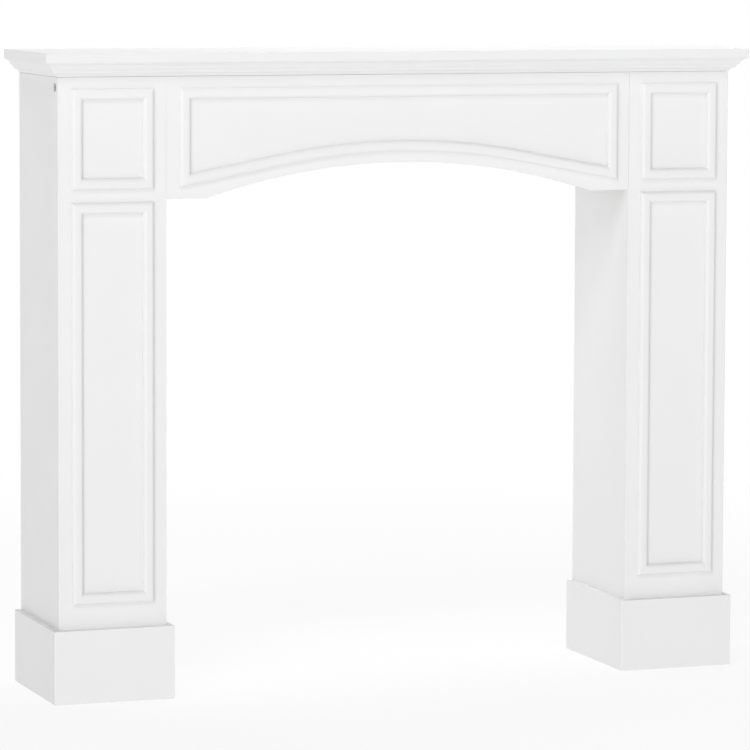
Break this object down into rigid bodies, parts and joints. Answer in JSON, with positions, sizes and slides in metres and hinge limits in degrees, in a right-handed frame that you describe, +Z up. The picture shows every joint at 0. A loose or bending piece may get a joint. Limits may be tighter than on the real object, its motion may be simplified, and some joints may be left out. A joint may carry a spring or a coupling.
{
  "type": "fireplace mantelpiece",
  "caption": "White painted fireplace surround: moulded shelf, arched header and box legs on plinths, with raised panel mouldings framing each face.",
  "frame": {"origin": "on the floor, below the centre of the shelf's outline", "axes": "+X along the shelf to the right as seen from the room, +Y towards the wall, +Z up"},
  "size_m": [1.2, 0.25, 1.028],
  "materials": {
    "satin_white_paint": "satin white paint on fibreboard",
    "zinc": "die-cast zinc, dull"
  },
  "bodies": {
    "root": {"left_leg_front": "satin_white_paint", "left_leg_inner_side": "satin_white_paint", "left_leg_outer_side": "satin_white_paint", "left_plinth_front": "satin_white_paint", "left_plinth_inner_side": "satin_white_paint", "left_plinth_outer_side": "satin_white_paint", "left_upper_moulding_bottom": "satin_white_paint", "left_upper_moulding_right": "satin_white_paint", "left_upper_moulding_top": "satin_white_paint", "left_upper_moulding_left": "satin_white_paint", "left_lower_moulding_bottom": "satin_white_paint", "left_lower_moulding_right": "satin_white_paint", "left_lower_moulding_top": "satin_white_paint", "left_lower_moulding_left": "satin_white_paint", "right_leg_front": "satin_white_paint", "right_leg_inner_side": "satin_white_paint", "right_leg_outer_side": "satin_white_paint", "right_plinth_front": "satin_white_paint", "right_plinth_inner_side": "satin_white_paint", "right_plinth_outer_side": "satin_white_paint", "right_upper_moulding_bottom": "satin_white_paint", "right_upper_moulding_right": "satin_white_paint", "right_upper_moulding_top": "satin_white_paint", "right_upper_moulding_left": "satin_white_paint", "right_lower_moulding_bottom": "satin_white_paint", "right_lower_moulding_right": "satin_white_paint", "right_lower_moulding_top": "satin_white_paint", "right_lower_moulding_left": "satin_white_paint", "shelf_board": "satin_white_paint", "crown_front": "satin_white_paint", "crown_left_end": "satin_white_paint", "crown_right_end": "satin_white_paint", "header_board": "satin_white_paint", "header_moulding_bottom": "satin_white_paint", "header_moulding_right": "satin_white_paint", "header_moulding_top": "satin_white_paint", "header_moulding_left": "satin_white_paint", "left_cam_nut": "zinc", "right_cam_nut": "zinc"}
  },
  "joints": []
}
